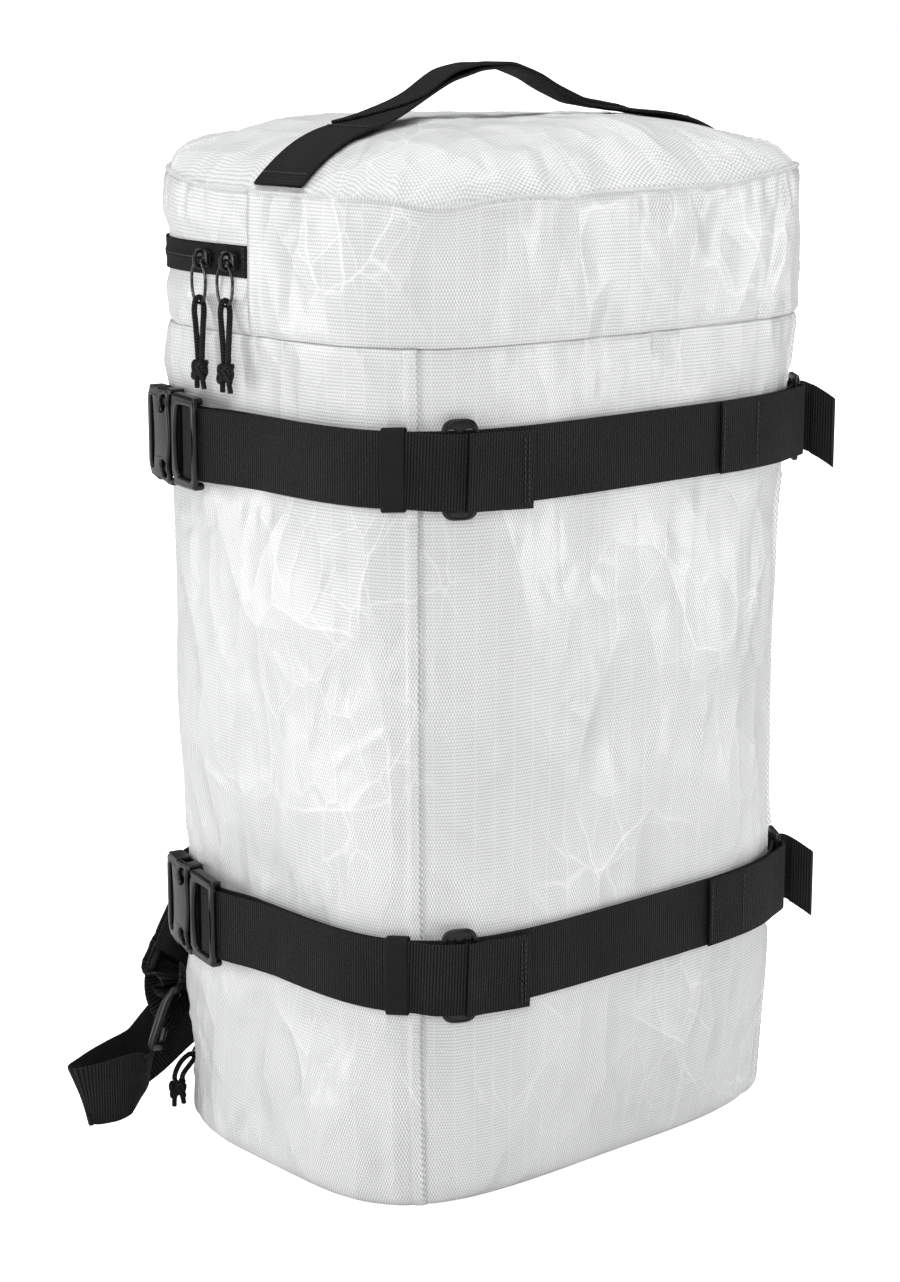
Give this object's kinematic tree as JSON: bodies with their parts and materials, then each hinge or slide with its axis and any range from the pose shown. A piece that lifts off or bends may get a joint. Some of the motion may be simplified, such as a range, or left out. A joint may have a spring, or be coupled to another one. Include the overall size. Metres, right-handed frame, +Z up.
{
  "type": "stuff sack",
  "caption": "Tall soft-sided pack sack with a zipped lid, webbing compression belts, a grab handle and padded shoulder straps.",
  "frame": {"origin": "centre of the base, on the floor it stands on", "axes": "+Z up through the lid; the wide front faces -Y; the buckles are on the -X side"},
  "size_m": [0.4074, 0.264, 0.5819],
  "materials": {
    "sailcloth": "satin",
    "webbing": "matte",
    "tape": "matte",
    "moulding": "satin",
    "wire": "gloss",
    "cord": "matte"
  },
  "bodies": {
    "bag": {"right_panel": "sailcloth", "back_panel": "sailcloth", "left_panel": "sailcloth", "front_panel": "sailcloth", "bottom_panel": "sailcloth", "band_front": "sailcloth", "band_rear": "sailcloth", "top_panel_front": "sailcloth", "zip_tape_lower": "tape", "base_zip_tape": "tape", "handle": "webbing", "upper_belt_webbing": "webbing", "upper_keeper": "webbing", "upper_belt_anchor": "webbing", "upper_side_webbing": "webbing", "lower_belt_webbing": "webbing", "lower_keeper": "webbing", "lower_belt_anchor": "webbing", "lower_side_webbing": "webbing", "left_strap_loop": "webbing", "right_strap_loop": "webbing", "upper_triglide": "moulding", "upper_buckle_female": "moulding", "upper_side_lock": "moulding", "lower_triglide": "moulding", "lower_buckle_female": "moulding", "lower_side_lock": "moulding"},
    "lid": {"lid_band": "sailcloth", "top_panel_rear": "sailcloth", "zip_tape_upper": "tape"},
    "front_slider": {"front_slider": "moulding"},
    "rear_slider": {"rear_slider": "moulding"},
    "front_ring": {"front_ring": "wire"},
    "rear_ring": {"rear_ring": "wire"},
    "front_pull": {"front_pull_cord": "cord", "front_pull_knot": "cord"},
    "rear_pull": {"rear_pull_cord": "cord", "rear_pull_knot": "cord"},
    "base_slider": {"base_slider": "moulding"},
    "base_pull": {"base_ring": "wire", "base_pull_cord": "cord", "base_pull_knot": "cord"},
    "upper_male": {"upper_buckle_male": "moulding"},
    "lower_male": {"lower_buckle_male": "moulding"},
    "upper_tail": {"upper_belt_tail": "webbing"},
    "lower_tail": {"lower_belt_tail": "webbing"},
    "left_shoulder": {"left_shoulder_strap": "webbing", "left_ladder_lock": "moulding"},
    "right_shoulder": {"right_shoulder_strap": "webbing", "right_ladder_lock": "moulding"}
  },
  "joints": [
    {"name": "lid_hinge", "type": "hinge", "parent": "bag", "child": "lid", "pos_m": [0, -0.0048, 0.5565], "axis": [1, 0, 0], "range_deg": [0, 90]},
    {"name": "front_slider_run", "type": "slide", "parent": "bag", "child": "front_slider", "axis": [0, 1, 0], "range_m": [0, 0.006]},
    {"name": "rear_slider_run", "type": "slide", "parent": "bag", "child": "rear_slider", "axis": [0.0698, 0.9976, 0], "range_m": [0, 0.012]},
    {"name": "front_ring_swing", "type": "hinge", "parent": "front_slider", "child": "front_ring", "pos_m": [-0.1642, 0.008, 0.487], "axis": [0, 1, 0], "range_deg": [0, 90]},
    {"name": "rear_ring_swing", "type": "hinge", "parent": "rear_slider", "child": "rear_ring", "pos_m": [-0.16405, 0.03043, 0.487], "axis": [0.0698, 0.9976, 0], "range_deg": [0, 90]},
    {"name": "front_pull_swing", "type": "hinge", "parent": "front_ring", "child": "front_pull", "pos_m": [-0.1642, 0.008, 0.4646], "axis": [0, 1, 0], "range_deg": [0, 60]},
    {"name": "rear_pull_swing", "type": "hinge", "parent": "rear_ring", "child": "rear_pull", "pos_m": [-0.16405, 0.03043, 0.4646], "axis": [0.0698, 0.9976, 0], "range_deg": [0, 60]},
    {"name": "base_slider_run", "type": "slide", "parent": "bag", "child": "base_slider", "axis": [0.989, 0.1478, 0], "range_m": [0, 0.008]},
    {"name": "base_pull_swing", "type": "hinge", "parent": "base_slider", "child": "base_pull", "pos_m": [-0.09892, 0.11399, 0.026], "axis": [0, 0, -1], "range_deg": [0, 20]},
    {"name": "upper_buckle_release", "type": "slide", "parent": "bag", "child": "upper_male", "axis": [-0.2079, -0.9781, 0], "range_m": [0, 0.03], "deforming": ["upper_belt_webbing"]},
    {"name": "lower_buckle_release", "type": "slide", "parent": "bag", "child": "lower_male", "axis": [-0.2079, -0.9781, 0], "range_m": [0, 0.03], "deforming": ["lower_belt_webbing"]},
    {"name": "upper_tail_swing", "type": "hinge", "parent": "bag", "child": "upper_tail", "pos_m": [0.14885, -0.09558, 0.392], "axis": [0, 0, 1], "range_deg": [-30, 0]},
    {"name": "lower_tail_swing", "type": "hinge", "parent": "bag", "child": "lower_tail", "pos_m": [0.14524, -0.09248, 0.1326], "axis": [0, 0, 1], "range_deg": [-30, 0]},
    {"name": "left_shoulder_swing", "type": "hinge", "parent": "bag", "child": "left_shoulder", "pos_m": [-0.05, 0.131, 0.432], "axis": [1, 0, 0], "range_deg": [0, 15], "deforming": ["left_strap_loop"]},
    {"name": "right_shoulder_swing", "type": "hinge", "parent": "bag", "child": "right_shoulder", "pos_m": [0.05, 0.131, 0.432], "axis": [1, 0, 0], "range_deg": [0, 15], "deforming": ["right_strap_loop"]}
  ]
}
